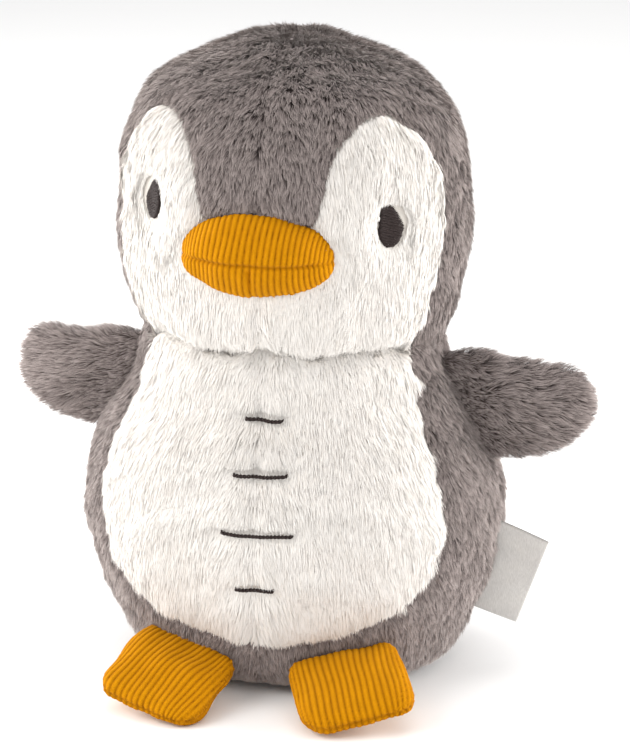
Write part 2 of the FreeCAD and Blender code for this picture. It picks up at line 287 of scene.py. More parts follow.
def pile_material(name, root, middle, tip, dull, sheen, sheen_tint):
    """Pile: a ramp from painted shade at the roots, between the strands, to the pile's own paler tone at the tips,
    with strands of uneven shade.
    """
    m = Nodes(name)
    coordinates = m.node("ShaderNodeUVMap", uv_map="OFBake").outputs[0]
    split = m.node("ShaderNodeSeparateXYZ")
    m.link(coordinates, split.inputs[0])
    # v runs from the roots, darkened with painted shade, to the tips
    along = m.ramp(split.outputs[1], [(0.0, root), (0.45, middle), (1.0, tip)])
    shade = m.ramp(split.outputs[0], [(0.0, dull), (0.5, (0.9, 0.9, 0.9)), (1.0, (1, 1, 1))])
    m.link(m.mixed("MULTIPLY", 1.0, along, shade), m.shader.inputs["Base Color"])
    return m.finish(0.85, sheen, 0.4, 0.12, sheen_tint)


def corduroy_material():
    """Ribbed cotton: painted shade in the grooves and painted light on the ribs, with a short fuzz."""
    m = Nodes("mustard corduroy")
    rib = m.node("ShaderNodeAttribute", attribute_name="rib").outputs["Fac"]
    place = m.node("ShaderNodeTexCoord").outputs["Object"]
    fuzz = m.noise(place, 5200, 3.0)
    blotch = m.noise(place, 160, 2.0)
    # the rib value runs from painted shade in the grooves, and in seams where it is lowered, to painted light on
    # the ribs
    colour = m.ramp(rib, [(0.0, (0.25, 0.090, 0.0012)), (0.5, (0.47, 0.185, 0.0015)),
                          (0.85, (0.64, 0.262, 0.002)), (1.0, (0.71, 0.305, 0.003))])
    shade = m.ramp(fuzz, [(0.30, (0.62, 0.58, 0.52)), (0.66, (1.0, 1.0, 1.0))])
    patches = m.ramp(blotch, [(0.3, (0.92, 0.90, 0.88)), (0.7, (1.0, 1.0, 1.0))])
    colour = m.mixed("MULTIPLY", 1.0, colour, shade)
    m.link(m.mixed("MULTIPLY", 1.0, colour, patches), m.shader.inputs["Base Color"])
    m.bump(fuzz, 0.55, 0.25 * MM)
    return m.finish(0.95, 0.08, 0.4, 0.06, (1.0, 0.60, 0.12))


def thread_material(name, dark, light):
    """Twisted cotton thread."""
    m = Nodes(name)
    place = m.node("ShaderNodeTexCoord").outputs["Object"]
    fibre = m.noise(place, 4000, 2.0)
    m.link(m.ramp(fibre, [(0.3, dark), (0.75, light)]), m.shader.inputs["Base Color"])
    m.bump(fibre, 0.4, 0.1 * MM)
    return m.finish(0.6, 0.0, 0.4, 0.18)


def satin_material():
    """Woven satin ribbon: fine threads along it and a soft gloss."""
    m = Nodes("satin ribbon")
    place = m.node("ShaderNodeTexCoord").outputs["Object"]
    mapping = m.node("ShaderNodeMapping")
    mapping.inputs["Scale"].default_value = (1.0, 1.0, 0.12)
    m.link(place, mapping.inputs["Vector"])
    weave = m.noise(mapping.outputs[0], 5200, 2.0)
    cloud = m.noise(place, 120, 3.0)
    colour = m.ramp(weave, [(0.3, (0.58, 0.56, 0.53)), (0.7, (0.74, 0.72, 0.69))])
    tone = m.ramp(cloud, [(0.3, (0.92, 0.92, 0.93)), (0.7, (1.0, 1.0, 1.0))])
    m.link(m.mixed("MULTIPLY", 1.0, colour, tone), m.shader.inputs["Base Color"])
    m.bump(weave, 0.25, 0.08 * MM)
    return m.finish(0.42, 0.2, 0.3, 0.5)


def fibre_material():
    """Crimped polyester filling."""
    m = Nodes("fibre filling")
    place = m.node("ShaderNodeTexCoord").outputs["Object"]
    crimp = m.noise(place, 900, 5.0)
    m.link(m.ramp(crimp, [(0.3, (0.72, 0.72, 0.71)), (0.7, (0.90, 0.90, 0.89))]),
           m.shader.inputs["Base Color"])
    m.bump(crimp, 0.8, 1.0 * MM)
    return m.finish(0.8, 0.4, 0.5, 0.2)


MATERIALS = {
    # each pile's first colour, at its roots and on its backing, is painted shade between the strands
    "white_pile": pile_material("white pile", (0.79, 0.74, 0.68), (0.86, 0.822, 0.778),
                                (0.905, 0.878, 0.845), (0.935, 0.92, 0.90), 0.08,
                                (1.0, 0.97, 0.93)),
    "grey_pile": pile_material("grey pile", (0.085, 0.066, 0.062), (0.225, 0.185, 0.176),
                               (0.52, 0.450, 0.425), (0.42, 0.40, 0.40), 0.55,
                               (1.0, 0.93, 0.90)),
    "mustard_corduroy": corduroy_material(),
    "dark_thread": thread_material("dark thread", (0.009, 0.006, 0.006), (0.060, 0.041, 0.038)),
    "grey_thread": thread_material("grey thread", (0.12, 0.10, 0.10), (0.25, 0.22, 0.21)),
    "satin_ribbon": satin_material(),
    "fibre_filling": fibre_material(),
}


def dressed(piece, slot, stands_for):
    """Give a piece the material of its slot, and hide the CAD nodes that it stands for."""
    piece.data.materials.clear()
    piece.data.materials.append(MATERIALS[slot])
    if stands_for:
        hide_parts(*stands_for)
    return piece


# ------------------------------------------------------------------ pile

class Skin:
    """The backing of some sewn panels: its mesh, and how far each vertex is from each panel."""

    def __init__(self, piece, panels):
        self.places, self.normals, self.triangles = read(piece.data)
        self.panels = panels
        self.away = np.stack([distances_to(panel, self.places) for panel in panels], axis=1)
        bpy.data.objects.remove(piece)

    def across_seam(self):
        """Distance of each vertex from the nearest seam between two panels."""
        ordered = np.sort(self.away, axis=1)
        return ordered[:, 1] - ordered[:, 0]

    def move(self, offsets):
        self.places = self.places + offsets

    def settle(self):
        """Work the normals out again after moving."""
        a, b, c = (self.places[self.triangles[:, k]] for k in range(3))
        faces = np.cross(b - a, c - a)
        normals = np.zeros_like(self.places)
        for k in range(3):
            for axis in range(3):
                normals[:, axis] += np.bincount(self.triangles[:, k], faces[:, axis],
                                                len(self.places))
        self.normals = unit(normals)

    def tree(self):
        """For finding where a line meets the skin."""
        return BVHTree.FromPolygons(self.places.tolist(), self.triangles.tolist())

    def scatter(self, per_mm2, seed):
        """Random roots over the whole skin: place, normal, panel, distance from a seam."""
        random = np.random.default_rng(seed)
        a, b, c = (self.places[self.triangles[:, k]] for k in range(3))
        panel = np.argmin(self.away[self.triangles].mean(axis=1), axis=1)
        wanted = np.linalg.norm(np.cross(b - a, c - a), axis=1) / 2 * np.array(per_mm2)[panel]
        count = int(wanted.sum() / MM ** 2)
        chosen = random.choice(len(wanted), count, p=wanted / wanted.sum())
        weights = random.dirichlet((1, 1, 1), count)
        corners = self.triangles[chosen]

        def spread(values):
            return np.einsum("nk,nkd->nd", weights, values[corners])

        away = spread(self.away)
        ordered = np.sort(away, axis=1)
        return (spread(self.places), unit(spread(self.normals)), np.argmin(away, axis=1),
                ordered[:, 1] - ordered[:, 0])

    def part(self, index):
        """The triangles of one panel, with their own numbering: places, normals, triangles."""
        face_away = self.away[self.triangles].mean(axis=1)
        mine = self.triangles[np.argmin(face_away, axis=1) == index]
        used, renumbered = np.unique(mine, return_inverse=True)
        return self.places[used], self.normals[used], renumbered.reshape(-1, 3)


def clumped(points, roots, cell, pull, seed):
    """Draw points together into tufts."""
    warp = np.stack([ripple(roots, cell * 2.2, seed + k) for k in range(3)], axis=1) * cell * 0.6
    keys = np.floor((roots + warp) / cell).astype(np.int64)
    keys -= keys.min(axis=0)
    flat = (keys[:, 0] * 4096 + keys[:, 1]) * 4096 + keys[:, 2]
    _, tuft, sizes = np.unique(flat, return_inverse=True, return_counts=True)
    tuft = tuft.ravel()
    means = np.stack([np.bincount(tuft, points[:, k]) for k in range(3)], axis=1)
    means /= sizes[:, None]
    return points + (means[tuft] - points) * pull, tuft


def strands(roots, normals, flow, lengths, seed, style):
    """Tapering ribbons of pile: five vertices each. Returns vertices, normals, faces, UVs."""
    random = np.random.default_rng(seed)
    count = len(roots)
    turn = np.radians(9.0) * random.normal(size=count) + 0.20 * ripple(roots, 12 * MM, seed + 1)
    turn = (turn + 0.16 * ripple(roots, 4 * MM, seed + 2)) * style["stray"]
    across = np.cross(normals, flow)
    flow = flow * np.cos(turn)[:, None] + across * np.sin(turn)[:, None]
    wobble = np.radians(7.0) * random.normal(size=count) + 0.12 * ripple(roots, 5 * MM, seed + 3)
    wobble *= style["stray"]

    def bend(degrees):
        angle = np.clip(np.radians(degrees) + wobble, 0.1, 1.48)
        return normals * np.cos(angle)[:, None] + flow * np.sin(angle)[:, None]

    half = lengths[:, None] / 2
    first = bend(style["lean"][0])
    second = bend(style["lean"][1])
    middle = roots + first * half
    tips = middle + second * half
    tips, tuft = clumped(tips, roots, TUFT, style["clump"], seed + 5)
    middle, _ = clumped(middle, roots, TUFT, style["clump"] / 3, seed + 5)

    side = unit(np.cross(first + second, normals))
    spin = random.normal(size=count) * style["spin"]
    side = unit(side * np.cos(spin)[:, None] + normals * np.sin(spin)[:, None])
    widths = (style["width"] * random.uniform(0.7, 1.3, count) / 2)[:, None]
    vertices = np.stack([roots - side * widths, roots + side * widths,
                         middle - side * widths * 0.85, middle + side * widths * 0.85,
                         tips], axis=1)
    vertices[:, :, 2] = np.maximum(vertices[:, :, 2], 0)      # nothing goes below the floor
    outward = np.cross(side, second)
    outward = unit(outward * np.sign(np.sum(outward * normals, axis=1, keepdims=True)))
    relief = style["relief"]
    base = normals * (1 - relief) + outward * relief
    edge = side * relief
    shading = np.stack([base - edge, base + edge, base - edge, base + edge,
                        base + second * relief / 2], axis=1)
    tones = np.random.default_rng(seed + 9).uniform(0, 1, tuft.max() + 1)[tuft]
    shade = np.clip(0.5 * tones + 0.5 * random.uniform(0, 1, count), 0.02, 0.98)
    start = np.arange(count)[:, None] * 5
    quads = start + np.array([[0, 1, 3, 2]])
    tris = start + np.array([[2, 3, 4]])
    left, right = shade - 0.012, shade + 0.012
    # v is 0 at the roots, which take painted shade, and 1 at the tips
    levels = (0.0, 0.0, 0.5, 0.5, 1.0)
    across_uv = (left, right, left, right, shade)
    uvs = np.stack([np.stack([u, np.full(count, v)], axis=1)
                    for u, v in zip(across_uv, levels)], axis=1)
    return (vertices.reshape(-1, 3), unit(shading.reshape(-1, 3)), quads, tris,
            uvs.reshape(-1, 2))


def pile_piece(name, backing, hair):
    """One panel as one mesh: its backing and its strands, with the strands' own normals."""
    places, normals, triangles = backing
    hair_places, hair_normals, quads, tris, hair_uvs = hair
    offset = len(places)
    piece, corners = built(name, np.concatenate([places, hair_places]),
                           [triangles, quads + offset, tris + offset])
    # the backing takes the roots' colour: painted shade under the strands
    shade = 0.3 + 0.4 * np.random.default_rng(len(places)).uniform(size=len(places))
    uvs = np.concatenate([np.stack([shade, np.full(len(places), 0.02)], axis=1), hair_uvs])
    layer = piece.data.uv_layers.new(name="OFBake")
    layer.data.foreach_set("uv", uvs[corners].astype(np.float32).ravel())
    piece.data.normals_split_custom_set_from_vertices(np.concatenate([normals, hair_normals]))
    return piece


def pile_over(skin, slots, flow_of, length_of, seed, ruffled=""):
    """A furred piece for each panel of a skin."""
    per_mm2 = [PILE_PER_MM2 if "back" in node or "base" in node else FRONT_PILE_PER_MM2
               for node in skin.panels]
    roots, normals, panel, seam = skin.scatter(per_mm2, seed)
    flow = flattened(flow_of(roots, normals), normals)
    random = np.random.default_rng(seed + 20)
    share = length_of(roots, seam) * random.uniform(0.75, 1.15, len(roots))
    made = {}
    for index, node in enumerate(skin.panels):
        style = PILE_STYLES[ruffled + slots[node]]
        lengths = share * style["length"]
        mine = (panel == index) & (lengths > SHORTEST)
        hair = strands(roots[mine], normals[mine], flow[mine], lengths[mine],
                       seed + 31 * index, style)
        piece = pile_piece(node + "_pile", skin.part(index), hair)
        dressed(piece, slots[node], [node])
        made[node] = piece
    return made


# ------------------------------------------------------------------ thread and ribbon

def tubes(name, paths, radius, sides=6):
    """Round threads along several paths, as one mesh. Each narrows at its two ends."""
    places = []
    faces = []
    start = 0
    angles = np.linspace(0, 2 * math.pi, sides, endpoint=False)
    for path in paths:
        tangent = unit(np.gradient(path, axis=0))
        side = unit(np.cross(tangent, [0.0, -1.0, 0.02]))
        lift = np.cross(side, tangent)
        taper = np.ones(len(path))
        taper[[0, -1]] = 0.2
        ring = (side[:, None] * np.cos(angles)[None, :, None]
                + lift[:, None] * np.sin(angles)[None, :, None])
        places.append((path[:, None] + ring * radius * taper[:, None, None]).reshape(-1, 3))
        row = np.arange(len(path) - 1)[:, None] * sides
        column = np.arange(sides)[None]
        following = (column + 1) % sides
        quads = np.stack([row + column, row + following, row + sides + following,
                          row + sides + column], axis=-1).reshape(-1, 4)
        faces.append(quads + start)
        start += len(path) * sides
    return built(name, np.concatenate(places), [np.concatenate(faces)])[0]


def in_front(surface, x, z, fallback):
    """How far forward a surface lies at a place seen from the front."""
    hit = surface.ray_cast(Vector((x, -0.3, z)), Vector((0, 1, 0)))[0]
    return hit.y if hit else fallback


def make_belly_stitches(surface):
    """Two twisted plies laid over the pile and pulled in at both ends."""
    steps = 70
    along = np.linspace(0, 1, steps)
    for number, node in enumerate(BELLY_STITCHES, 1):
        low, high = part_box(node)
        x = low.x + (high.x - low.x) * along
        z = (low.z + high.z) / 2 + 0.25 * MM * np.sin(along * 5 + number)
        y = np.array([in_front(surface, a, b, low.y) for a, b in zip(x, z)])
        inside = np.clip(np.abs(along - 0.5) * 2 - 0.9, 0, None) / 0.1
        y = y - STITCH_LIFT + 1.9 * MM * inside ** 2
        middle = np.stack([x, y, z], axis=1)
        turn = 2 * math.pi * (x - low.x) / STITCH_TWIST
        offset = np.stack([np.zeros(steps), np.cos(turn), np.sin(turn)], axis=1) * PLY_OFFSET
        piece = tubes(node + "_thread", [middle + offset, middle - offset], PLY_RADIUS, 8)
        dressed(piece, "dark_thread", [node])
        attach(piece, "torso")


def make_eye(side, sign, surface):
    """A teardrop of close satin stitches, its point leaning towards the beak."""
    centre, half = eye_box(side)
    random = np.random.default_rng(7 if sign > 0 else 8)
    widest = -0.3                 # height of the widest row, from -1 at the foot to 1 at the point
    steps = 16
    shift, slant, raised = np.array((1.2, 2.0, 1.8) if sign > 0 else (1.6, 3.0, 3.6)) * MM
    wide = (3.7 if sign > 0 else 3.3) * MM
    paths = []
    for row in range(EYE_ROWS):
        height = -1 + 2 * (row + 0.5) / EYE_ROWS
        above = height - widest
        if above < 0:
            reach = wide * math.sqrt(1 - (above / (1 + widest)) ** 2)
        else:
            reach = wide * (1 - (above / (1 - widest)) ** 1.3)
        lean = shift - slant * max(above, 0) ** 1.4 * sign
        left = centre[0] + lean - reach * random.uniform(0.96, 1.05) - 0.2 * MM
        right = centre[0] + lean + reach * random.uniform(0.96, 1.05) + 0.2 * MM
        x = np.linspace(left, right, steps)
        z = (centre[2] + raised + height * (half[2] + 0.9 * MM)
             + 0.06 * MM * random.normal(size=steps))
        y = np.array([in_front(surface, a, b, centre[1]) for a, b in zip(x, z)])
        dome = np.sqrt(np.clip(1 - np.linspace(-1, 1, steps) ** 4, 0, 1))
        y = y - (0.3 + 1.1 * dome) * MM
        y[[0, -1]] += 0.8 * MM
        paths.append(np.stack([x, y, z], axis=1))
    piece = tubes("eye_" + side + "_satin_stitch", paths, EYE_THREAD, 6)
    dressed(piece, "dark_thread", ["eye_" + side])
    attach(piece, "head")


def make_label():
    """A blank woven satin ribbon, folded in two and sewn into the side seam."""
    joint = JOINTS["label_flap"]
    origin, outward, along, through = local_axes(joint, "side_label")
    reach = 17.0 * MM
    length = 34.5 * MM
    gap = 0.42 * MM
    steps = 26
    across = np.linspace(-0.5, 0.5, 40)
    start = -(1.8 + 9.0 * across ** 2) * MM
    straight = np.linspace(0, 1, steps)
    turn = np.linspace(0, math.pi, 9)[1:-1]
    places = []
    for column, shift in zip(across, start):
        run = np.concatenate([shift + (reach - gap - shift) * straight,
                              reach - gap + gap * np.sin(turn),
                              shift + (reach - gap - shift) * straight[::-1]])
        layer = np.concatenate([np.full(steps, gap), gap * np.cos(turn),
                                np.full(steps, -gap)])
        share = np.clip(run / reach, 0, 1)
        curl = 1.3 * MM * share ** 2 * math.sin(column * 5.0 + 0.4) + 0.5 * MM * share * column
        places.append(origin + outward * run[:, None]
                      + along * (column * length * (1 - 0.012 * share))[:, None]
                      + through * (layer + curl)[:, None])
    grid = np.array(places)
    normal = unit(np.cross(np.gradient(grid, axis=0), np.gradient(grid, axis=1)))
    half_thick = 0.11 * MM
    rows, columns = grid.shape[:2]
    both_sides = np.concatenate([(grid + normal * half_thick).reshape(-1, 3),
                                 (grid - normal * half_thick).reshape(-1, 3)])
    number = np.arange(rows * columns).reshape(rows, columns)
    quads = np.stack([number[:-1, :-1], number[:-1, 1:], number[1:, 1:], number[1:, :-1]],
                     axis=-1).reshape(-1, 4)
    back = rows * columns
    rim = np.concatenate([number[0, :-1], number[:-1, -1], number[-1, :0:-1], number[:0:-1, 0]])
    border = np.stack([rim, np.roll(rim, -1), np.roll(rim, -1) + back, rim + back], axis=1)
    piece, _ = built("side_label_ribbon", both_sides, [quads, quads[:, ::-1] + back, border])
    dressed(piece, "satin_ribbon", ["side_label"])
    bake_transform(piece)


def make_filling(node, inset, voxel):
    """Loose fibre inside a sewn piece: the CAD solid, lumpier and drawn in a little."""
    piece = remeshed(node + "_fibre", node, voxel, 2)
    places, normals, _ = read(piece.data)
    lumps = 0.5 * MM * ripple(places, 9 * MM, 71) - inset
    write(piece.data, places + normals * lumps[:, None])
    dressed(piece, "fibre_filling", [node])
    return piece


# ------------------------------------------------------------------ torso

def both(*names):
    return [f"{name}_{side}" for name in names for side, _ in SIDES]


def slots_of(nodes):
    given = {row["node"]: row["material_slot"] for row in frame["record"]["subparts"]}
    return {node: given[node] for node in nodes}


NOD = np.array(JOINTS["head_nod"]["pos_m"])
NECK_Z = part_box("back_panel_left")[1].z      # the seam between torso and head
TORSO_HALF_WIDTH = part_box("back_panel_left")[1].x


def shouldered(skin):
    """Fill the torso out to the neck seam, so that the body's fur meets the head's."""
    flat = skin.places - np.array([0, NOD[1], 0])
    flat[:, 2] = 0
    radius = np.hypot(flat[:, 0], flat[:, 1] / DEPTH_RATIO)
    below_seam = (NECK_Z - skin.places[:, 2]) / MM
    wanted = np.interp(below_seam, [-6, 0, 2, 6, 10, 14, 18, 22],
                       [48, 51.9, 52.3, 53.2, 54.3, 55.8, 57.7, 60]) * MM
    push = np.clip(wanted - radius, 0, 9 * MM) * (1 - smooth_step(below_seam, 18, 28))
    skin.move(unit(flat) * push[:, None])


def seam_tilt(places):
    """How far the neck seam moves up: most at the front, and a little down at the sides."""
    return 4.2 * MM * smooth_step(-places[:, 1], 5 * MM, 45 * MM) - 0.6 * MM


def torso_flow(roots, normals):
    """Pile combed down, and away from the belly seam on the front."""
    x = roots[:, 0]
    front = smooth_step(-roots[:, 1], 10 * MM, 30 * MM)
    part = np.tanh(x / (3.0 * MM)) * 0.30 * bump(x, 16 * MM) + x / TORSO_HALF_WIDTH * 0.22
    flow = np.zeros_like(roots)
    flow[:, 0] = part * front + 0.10 * normals[:, 0]
    flow[:, 1] = 0.10 * normals[:, 1]
    flow[:, 2] = -1.0
    return flow


def near_stitches(places):
    """Distance of each place from the nearest stitch across the belly seam."""
    nearest = np.full(len(places), 1.0)
    for node in BELLY_STITCHES:
        low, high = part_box(node)
        middle = (low + high) / 2
        across = np.clip(np.abs(places[:, 0] - middle.x) - (high.x - low.x) / 2, 0, None)
        distance = np.hypot(across, places[:, 2] - middle.z)
        distance = np.where(places[:, 1] < NOD[1], distance, 1.0)
        nearest = np.minimum(nearest, distance)
    return nearest


def make_torso():
    panels = ["base_panel"] + both("belly_panel", "front_panel", "back_panel")
    piece = swollen(remeshed("torso", "torso_filling", 1.7 * MM, 6), FABRIC_OVER_FILLING)
    skin = Skin(piece, panels)
    shouldered(skin)
    skin.settle()
    seam = skin.across_seam()
    lumps = 0.7 * MM * ripple(skin.places, 34 * MM, 5) + 0.3 * MM * ripple(skin.places, 13 * MM, 6)
    lumps *= smooth_step(skin.places[:, 2], 1 * MM, 12 * MM)
    groove = (0.9 + 0.4 * ripple(skin.places, 8 * MM, 7)) * MM * bump(seam, 2.4 * MM)
    groove *= smooth_step(skin.places[:, 2], 2 * MM, 9 * MM)
    dimple = 0.8 * MM * bump(near_stitches(skin.places), 3.5 * MM)
    skin.move(skin.normals * (lumps - groove - dimple)[:, None])
    skin.settle()

    def length_of(roots, seam_distance):
        near_floor = smooth_step(roots[:, 2], 1 * MM, 10 * MM)
        top = 1 - 0.3 * smooth_step(roots[:, 2], NECK_Z - 5 * MM, NECK_Z + 2 * MM)
        inside = np.where(roots[:, 2] > NECK_Z + 8 * MM, 0.0, 1.0)
        near_seam = 0.8 + 0.2 * smooth_step(seam_distance, 0.3 * MM, 3 * MM)
        above = np.array([0, 0, 2.5 * MM])
        near_thread = 1 - 0.72 * bump(near_stitches(roots - above), 3.2 * MM)
        return (0.16 + 0.84 * near_floor) * near_seam * top * inside * near_thread

    made = pile_over(skin, slots_of(panels), torso_flow, length_of, 100)
    for furred in made.values():
        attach(furred, "torso")
    make_belly_stitches(skin.tree())
    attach(make_filling("torso_filling", 3.0 * MM, 3 * MM), "torso")


# ------------------------------------------------------------------ head

HEAD_LOW, HEAD_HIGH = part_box("head_filling")
HEAD_MIDDLE = np.array((HEAD_LOW + HEAD_HIGH) / 2)
HEAD_HALF_WIDTH = HEAD_HIGH.x
WHORL = np.array([0, 48 * MM, 236 * MM])     # the crown's pile is combed away from here


def eye_box(side):
    low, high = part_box("eye_" + side)
    return np.array((low + high) / 2), np.array((high - low) / 2)


def head_flow(roots, _normals):
    """Pile combed away from the back of the crown, then down the sides and the face."""
    flow = unit(roots - WHORL)
    x = roots[:, 0] / HEAD_HALF_WIDTH
    flow[:, 0] += 0.14 * np.tanh(x / 0.06) * smooth_step(roots[:, 2], 185 * MM, 210 * MM)
    flow[:, 0] += 0.25 * x
    flow[:, 2] -= 0.35
    return flow


def in_eye(places):
    """0 at the middle of an eye, 1 on its edge and more outside it."""
    nearest = np.full(len(places), 9.0)
    for side, _ in SIDES:
        centre, half = eye_box(side)
        # the satin stitches sit a little above and beside the CAD eye
        middle = centre + np.array([1.4, 0, 1.7 if side == "left" else 3.3]) * MM
        offset = (places - middle)[:, [0, 2]] / (half[[0, 2]] + np.array([0, 0.7]) * MM)
        inside = np.linalg.norm(offset, axis=1) + 0.25 * np.clip(offset[:, 1], 0, None)
        nearest = np.minimum(nearest, np.where(places[:, 1] < 0, inside, 9.0))
    return nearest


def near_beak(places):
    """Distance outside the beak's outline, seen from the front."""
    low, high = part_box("beak_upper")
    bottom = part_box("beak_lower_left")[0].z
    tall = np.where(places[:, 2] > low.z, high.z - low.z, low.z - bottom)
    offset = np.hypot(places[:, 0] / high.x, (places[:, 2] - low.z) / tall)
    return np.where(places[:, 1] < -30 * MM, (offset - 1) * 18 * MM, 1.0)


def make_head():
    panels = both("face_panel", "crown_panel", "head_back_panel")
    piece = swollen(remeshed("head", "head_filling", 1.7 * MM, 6), FABRIC_OVER_FILLING)
    skin = Skin(piece, panels)
    places = skin.places
    outside = np.hypot(places[:, 0], (places[:, 1] - NOD[1]) / DEPTH_RATIO) > 44 * MM
    hem = outside * bump(places[:, 2] - NECK_Z, 7 * MM)
    skin.move(np.outer(hem * (seam_tilt(places) - 0.6 * MM), [0, 0, 1]))
    # the chin is tucked in over the neck seam
    above_hem = places[:, 2] - NECK_Z
    tuck = 2.4 * MM * outside * (1 - smooth_step(above_hem, 1 * MM, 13 * MM))
    tuck *= smooth_step(-places[:, 1], 8 * MM, 34 * MM)
    inward = np.array([0, NOD[1], 0]) - places
    inward[:, 2] = 0
    skin.move(unit(inward) * tuck[:, None])
    # the crown slopes down sooner than the filling does
    from_top = np.hypot(places[:, 0], places[:, 1] - NOD[1])
    slope = bump(from_top - 27 * MM, 14 * MM) * smooth_step(places[:, 2], 190 * MM, 208 * MM)
    skin.move(np.outer(-2.6 * MM * slope, [0, 0, 1]))
    places = skin.places
    skin.settle()
    seam = skin.across_seam()
    lumps = 0.6 * MM * ripple(places, 30 * MM, 15) + 0.25 * MM * ripple(places, 12 * MM, 16)
    groove = (1.1 + 0.4 * ripple(places, 8 * MM, 17)) * MM * bump(seam, 2.2 * MM)
    eyes = np.zeros(len(seam))
    for side, _ in SIDES:
        centre, half = eye_box(side)
        offset = np.linalg.norm((places - centre) / (half + 2.2 * MM), axis=1)
        eyes += 1.1 * MM * bump(offset, 0.9)
    skin.move(skin.normals * (lumps - groove - eyes)[:, None])
    skin.settle()

    def length_of(roots, seam_distance):
        near_seam = 0.8 + 0.2 * smooth_step(seam_distance, 0.3 * MM, 3 * MM)
        hollow = np.hypot(roots[:, 0], (roots[:, 1] - NOD[1]) / DEPTH_RATIO) < 42 * MM
        inside = np.where(hollow & (roots[:, 2] < HEAD_MIDDLE[2]), 0.0, 1.0)
        hem = 1 + 0.2 * bump(roots[:, 2] - NECK_Z, 6 * MM)
        eye = 0.42 + 0.58 * smooth_step(in_eye(roots), 1.1, 1.9)
        eye = np.where(in_eye(roots) < 1.02, 0.0, eye)
        beak = 0.5 + 0.5 * smooth_step(near_beak(roots), 0.5 * MM, 5 * MM)
        beak = np.where(near_beak(roots) < -2.5 * MM, 0.0, beak)
        return near_seam * inside * hem * eye * beak

    made = pile_over(skin, slots_of(panels), head_flow, length_of, 300)
    for furred in made.values():
        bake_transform(furred)
    for side, sign in SIDES:
        make_eye(side, sign, skin.tree())
    filling = make_filling("head_filling", 3.0 * MM, 3 * MM)
    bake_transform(filling)


# ------------------------------------------------------------------ flippers and feet

def local_axes(joint, node):
    """A sewn-on pad's own axes: its root's middle, outwards, along the root, through it."""
    origin = np.array(joint["pos_m"])
    along = unit(np.array(joint["axis"], float))
    low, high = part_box(node)
    reach = np.array((low + high) / 2) - origin
    outward = unit(reach - along * (reach @ along))
    return origin, outward, along, np.cross(outward, along)


def make_flipper(side, sign):
    joint = JOINTS[f"flipper_{side}_swing"]
    node = f"flipper_filling_{side}"
    origin, outward, along, through = local_axes(joint, node)
    panels = [f"flipper_front_panel_{side}", f"flipper_back_panel_{side}"]
    piece = swollen(remeshed("flipper_" + side, node, 1.3 * MM, 4), FABRIC_OVER_FILLING)
    skin = Skin(piece, panels)
    reach = (skin.places - origin) @ outward
    root = 1 - smooth_step(reach, 0.5 * MM, 7 * MM)
    skin.move(np.outer(-root * 3.5 * MM, outward))
    down = along * np.sign(-along[2])
    offset = skin.places - origin
    lower = np.clip((offset @ down) / (40 * MM) + 0.5, 0, 1)
    outer = smooth_step(reach, -2 * MM, 35 * MM)
    drop, lift, longer = (10.5 * MM, 2.6 * MM, 0.04) if sign > 0 else (11 * MM, 7.5 * MM, 0.04)
    lifted = lift * lower * (0.4 + 0.6 * outer)
    skin.move(np.outer(drop * (1 - lower) * outer - lifted, down))
    skin.move(np.outer(longer * np.clip(reach, 0, None), outward))
    pinch = 0.42 * (1 - smooth_step(reach, 1 * MM, 13 * MM))
    skin.move(np.outer(-(offset @ through) * pinch, through))
    seam = skin.across_seam()
    lumps = 0.5 * MM * ripple(skin.places, 16 * MM, 25)
    skin.move(skin.normals * (lumps - 0.5 * MM * bump(seam, 2 * MM))[:, None])
    skin.settle()

    def flow_of(roots, _normals):
        return np.tile(outward + np.array([0, 0, -0.55]), (len(roots), 1))

    def length_of(roots, _seam_distance):
        return 0.55 + 0.55 * smooth_step((roots - origin) @ outward, 2 * MM, 14 * MM)

    made = pile_over(skin, slots_of(panels), flow_of, length_of, 500 if sign > 0 else 600,
                     "ruffled_")
    filling = make_filling(node, 1.5 * MM, 1.5 * MM)
    for furred in [*made.values(), filling]:
        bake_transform(furred)


def ribbed(piece, across, fade):
    """Raise corduroy ribs over a finished surface. across is each vertex's place across them."""
    places, normals, _ = read(piece.data)
    phase = np.abs(np.sin(across * math.pi / WALE))
    rib = phase ** 0.55
    write(piece.data, places + normals * ((rib - 0.6) * WALE_HEIGHT * fade)[:, None])
    # the rib attribute sets the colour: low in the grooves for painted shade, and lowered by fade in seams and
    # creases for more painted shade
    attribute = piece.data.attributes.new("rib", "FLOAT", "POINT")
    attribute.data.foreach_set("value", (rib * (0.35 + 0.65 * fade)).astype(np.float32))
    return piece


